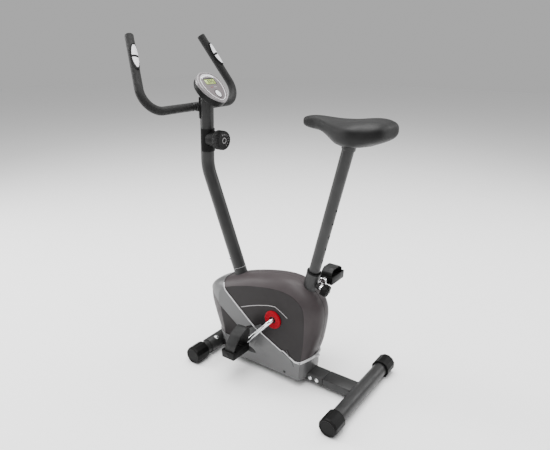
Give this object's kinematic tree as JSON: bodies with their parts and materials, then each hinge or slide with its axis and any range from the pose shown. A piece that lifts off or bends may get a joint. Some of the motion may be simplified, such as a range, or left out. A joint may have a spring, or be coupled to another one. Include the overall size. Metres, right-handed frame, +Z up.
{
  "type": "upright exercise bike",
  "caption": "Upright magnetic exercise bike with enclosed flywheel, cranks and strapped pedals, height-adjustable saddle, curved handlebar with pulse plates, console and resistance dial.",
  "frame": {"origin": "centre of the bike's footprint box, on the floor", "axes": "+X towards the rear (saddle end), -Y the rider's left, +Z up"},
  "size_m": [0.8801, 0.4776, 1.1797],
  "materials": {
    "black_steel": "satin black powder coat",
    "black_plastic": "fine grained black",
    "chrome": "polished",
    "casing_brown": "satin dark brown-grey",
    "silver_plastic": "satin silver-grey paint",
    "red_plastic": "gloss red",
    "iron": "machined",
    "rubber": "matt",
    "foam": "soft black foam sleeve",
    "vinyl": "satin black vinyl",
    "grey_plastic": "satin warm grey",
    "lcd": "grey-green display window"
  },
  "bodies": {
    "base": {"main_frame": "black_steel", "front_foot_tube": "black_steel", "rear_foot_tube": "black_steel", "front_cap_left": "black_plastic", "front_cap_right": "black_plastic", "rear_cap_left": "black_plastic", "rear_cap_right": "black_plastic", "front_nut_left": "chrome", "front_nut_right": "chrome", "rail_bolt_1": "chrome", "rail_bolt_2": "chrome", "casing_left": "casing_brown", "casing_right": "casing_brown", "silver_cover_left": "silver_plastic", "silver_cover_right": "silver_plastic", "crank_disc_left": "red_plastic", "crank_disc_right": "red_plastic", "bottom_bearing": "iron", "drive_belt": "rubber", "handlebar_post": "black_steel", "post_bolt": "chrome", "tension_cable": "rubber", "handlebar": "black_steel", "grip_left": "foam", "grip_right": "foam", "pulse_housing_left": "black_plastic", "pulse_housing_right": "black_plastic", "pulse_plate_upper_left": "chrome", "pulse_plate_lower_left": "chrome", "pulse_plate_upper_right": "chrome", "pulse_plate_lower_right": "chrome", "bar_clamp": "black_steel", "console_bracket": "black_steel", "console_back": "black_plastic", "console_bezel": "silver_plastic", "console_face": "grey_plastic", "lcd_window": "lcd", "dial_housing": "black_plastic", "seat_bushing": "black_plastic"},
    "crankset": {"crank": "chrome", "drive_pulley": "black_plastic", "pedal_spindle_left": "chrome", "pedal_spindle_right": "chrome"},
    "left_pedal": {"pedal_left": "black_plastic", "pedal_strap_left": "rubber"},
    "right_pedal": {"pedal_right": "black_plastic", "pedal_strap_right": "rubber"},
    "flywheel_set": {"flywheel": "iron", "flywheel_axle": "iron"},
    "brake_shoe": {"magnet_arm": "black_steel", "magnet_upper": "iron", "magnet_lower": "iron"},
    "dial": {"dial_knob": "black_plastic"},
    "seat": {"seat_post": "black_steel", "seat_bracket": "black_steel", "seat_pan": "black_plastic", "seat_cushion": "vinyl"},
    "pull_pin": {"seat_pin": "chrome"},
    "pull_knob": {"seat_knob": "black_plastic"},
    "mode_key": {"mode_button": "silver_plastic"}
  },
  "joints": [
    {"name": "crank_spin", "type": "hinge", "parent": "base", "child": "crankset", "pos_m": [0.078, 0, 0.235], "axis": [0, 1, 0], "continuous": true},
    {"name": "left_pedal_spin", "type": "hinge", "parent": "crankset", "child": "left_pedal", "pos_m": [-0.033, -0.141, 0.113], "axis": [0, 1, 0], "continuous": true},
    {"name": "right_pedal_spin", "type": "hinge", "parent": "crankset", "child": "right_pedal", "pos_m": [0.189, 0.141, 0.357], "axis": [0, 1, 0], "continuous": true},
    {"name": "flywheel_spin", "type": "hinge", "parent": "base", "child": "flywheel_set", "pos_m": [-0.034, 0, 0.13], "axis": [0, 1, 0], "continuous": true},
    {"name": "brake_shoe_swing", "type": "hinge", "parent": "base", "child": "brake_shoe", "pos_m": [-0.138, -0.049, 0.088], "axis": [0, 1, 0], "range_deg": [-1.5, 1.5]},
    {"name": "dial_turn", "type": "hinge", "parent": "base", "child": "dial", "pos_m": [-0.19, 0, 0.826], "axis": [1, 0, 0], "range_deg": [-135, 135]},
    {"name": "seat_height", "type": "slide", "parent": "base", "child": "seat", "axis": [0.2419, 0, 0.9703], "range_m": [-0.14, 0.094]},
    {"name": "pin_pull", "type": "slide", "parent": "base", "child": "pull_pin", "axis": [0.9703, 0, -0.2419], "range_m": [0, 0.01], "stiffness_N_per_m": 600, "springref_m": -0.002},
    {"name": "knob_turn", "type": "hinge", "parent": "pull_pin", "child": "pull_knob", "pos_m": [0.19022, 0, 0.38521], "axis": [0.9703, 0, -0.2419], "range_deg": [-180, 180]},
    {"name": "mode_press", "type": "slide", "parent": "base", "child": "mode_key", "axis": [-0.7193, 0, -0.6947], "range_m": [0, 0.0015], "stiffness_N_per_m": 250}
  ],
  "couplings": [
    {"joint": "crank_spin", "follows": "flywheel_spin", "ratio": 0.1839},
    {"joint": "brake_shoe_swing", "follows": "dial_turn", "ratio": 0.0111}
  ]
}
